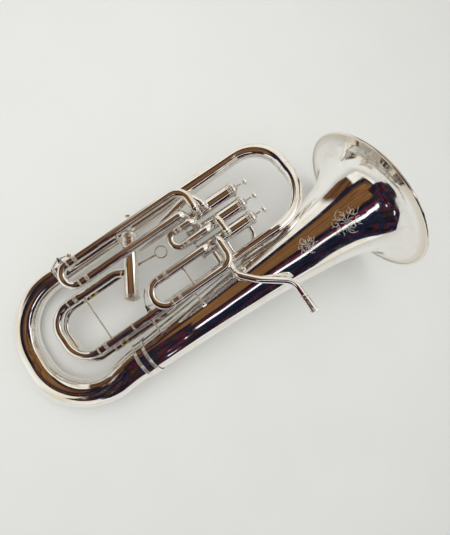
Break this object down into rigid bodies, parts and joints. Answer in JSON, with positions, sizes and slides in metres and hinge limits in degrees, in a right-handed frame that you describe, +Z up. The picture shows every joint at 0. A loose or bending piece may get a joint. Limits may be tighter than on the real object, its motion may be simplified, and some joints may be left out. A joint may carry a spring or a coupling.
{
  "type": "euphonium",
  "caption": "Silver-plated valved euphonium with a flared bell, compensating tubing, pull-out tuning slides, piston valves with finger buttons, and sprung water keys, lying on its rim and bow.",
  "frame": {"origin": "centre of the bounding box's footprint, on the level surface that the horn lies on", "axes": "+X towards the bell's mouth along the length, +Y towards the outer branch, +Z up out of the valve side"},
  "size_m": [0.7414, 0.3834, 0.2984],
  "materials": {
    "silver_plate": "polished silver plate with faint handling marks",
    "nickel_silver": "honed piston surface",
    "spring_steel": "plain spring wire",
    "cork": "natural cork pad",
    "felt": "pressed felt washer",
    "pearl": "mother-of-pearl style button inlay"
  },
  "bodies": {
    "horn": {"bell": "silver_plate", "bell_bow_ferrule": "silver_plate", "bottom_bow": "silver_plate", "outer_branch": "silver_plate", "top_bow": "silver_plate", "first_branch": "silver_plate", "leadpipe": "silver_plate", "mouthpiece_receiver": "silver_plate", "valve_casing_1": "silver_plate", "top_cap_1": "silver_plate", "bottom_cap_1": "silver_plate", "valve_spring_1": "spring_steel", "valve_casing_2": "silver_plate", "top_cap_2": "silver_plate", "bottom_cap_2": "silver_plate", "valve_spring_2": "spring_steel", "valve_casing_3": "silver_plate", "top_cap_3": "silver_plate", "bottom_cap_3": "silver_plate", "valve_spring_3": "spring_steel", "valve_casing_4": "silver_plate", "top_cap_4": "silver_plate", "bottom_cap_4": "silver_plate", "valve_spring_4": "spring_steel", "main_slide_upper_leg": "silver_plate", "main_slide_lower_leg": "silver_plate", "first_slide_upper_leg": "silver_plate", "first_slide_lower_leg": "silver_plate", "second_slide_upper_leg": "silver_plate", "second_slide_lower_leg": "silver_plate", "third_slide_outer_leg": "silver_plate", "third_slide_inner_leg": "silver_plate", "fourth_slide_upper_leg": "silver_plate", "fourth_slide_lower_leg": "silver_plate", "valve_link_1_2": "silver_plate", "valve_link_3_4": "silver_plate", "valve_return_tube": "silver_plate", "compensating_loop": "silver_plate", "bell_brace": "silver_plate", "first_slide_brace": "silver_plate", "third_slide_brace": "silver_plate", "main_slide_brace": "silver_plate", "thumb_ring": "silver_plate", "main_key_saddle": "silver_plate"},
    "valve_1": {"piston_1": "nickel_silver", "finger_button_1": "silver_plate"},
    "valve_2": {"piston_2": "nickel_silver", "finger_button_2": "silver_plate"},
    "valve_3": {"piston_3": "nickel_silver", "finger_button_3": "silver_plate"},
    "valve_4": {"piston_4": "nickel_silver", "finger_button_4": "silver_plate"},
    "main_slide": {"main_slide_crook": "silver_plate"},
    "first_slide": {"first_slide_crook": "silver_plate"},
    "second_slide": {"second_slide_crook": "silver_plate"},
    "third_slide": {"third_slide_crook": "silver_plate", "third_key_saddle": "silver_plate"},
    "fourth_slide": {"fourth_slide_crook": "silver_plate"},
    "main_key": {"main_water_key": "silver_plate"},
    "third_key": {"third_water_key": "silver_plate"}
  },
  "joints": [
    {"name": "valve_1_press", "type": "slide", "parent": "horn", "child": "valve_1", "axis": [-0.9871, -0.0168, -0.1592], "range_m": [0, 0.0155], "stiffness_N_per_m": 150, "springref_m": -0.012, "deforming": ["valve_spring_1"]},
    {"name": "valve_2_press", "type": "slide", "parent": "horn", "child": "valve_2", "axis": [-0.9871, -0.0168, -0.1592], "range_m": [0, 0.0155], "stiffness_N_per_m": 150, "springref_m": -0.012, "deforming": ["valve_spring_2"]},
    {"name": "valve_3_press", "type": "slide", "parent": "horn", "child": "valve_3", "axis": [-0.9871, -0.0168, -0.1592], "range_m": [0, 0.0155], "stiffness_N_per_m": 150, "springref_m": -0.012, "deforming": ["valve_spring_3"]},
    {"name": "valve_4_press", "type": "slide", "parent": "horn", "child": "valve_4", "axis": [-0.5143, -0.8576, 0.0064], "range_m": [0, 0.0155], "stiffness_N_per_m": 150, "springref_m": -0.012, "deforming": ["valve_spring_4"]},
    {"name": "main_slide_pull", "type": "slide", "parent": "horn", "child": "main_slide", "axis": [-0.9871, -0.0168, -0.1592], "range_m": [0, 0.05]},
    {"name": "first_slide_pull", "type": "slide", "parent": "horn", "child": "first_slide", "axis": [-0.9871, -0.0168, -0.1592], "range_m": [0, 0.045]},
    {"name": "second_slide_pull", "type": "slide", "parent": "horn", "child": "second_slide", "axis": [-0.9871, -0.0168, -0.1592], "range_m": [0, 0.01]},
    {"name": "third_slide_pull", "type": "slide", "parent": "horn", "child": "third_slide", "axis": [-0.9871, -0.0168, -0.1592], "range_m": [0, 0.09]},
    {"name": "fourth_slide_pull", "type": "slide", "parent": "horn", "child": "fourth_slide", "axis": [-0.9871, -0.0168, -0.1592], "range_m": [-0.009, 0.03]},
    {"name": "main_water_key_open", "type": "hinge", "parent": "horn", "child": "main_key", "pos_m": [-0.11429, 0.02643, 0.10271], "axis": [-0.1601, 0.1034, 0.9817], "range_deg": [0, 12], "stiffness_Nm_per_rad": 0.05, "springref_deg": -11.46},
    {"name": "third_water_key_open", "type": "hinge", "parent": "third_slide", "child": "third_key", "pos_m": [-0.19433, 0.18521, 0.0923], "axis": [-0.1601, 0.1034, 0.9817], "range_deg": [0, 12], "stiffness_Nm_per_rad": 0.05, "springref_deg": -11.46}
  ]
}
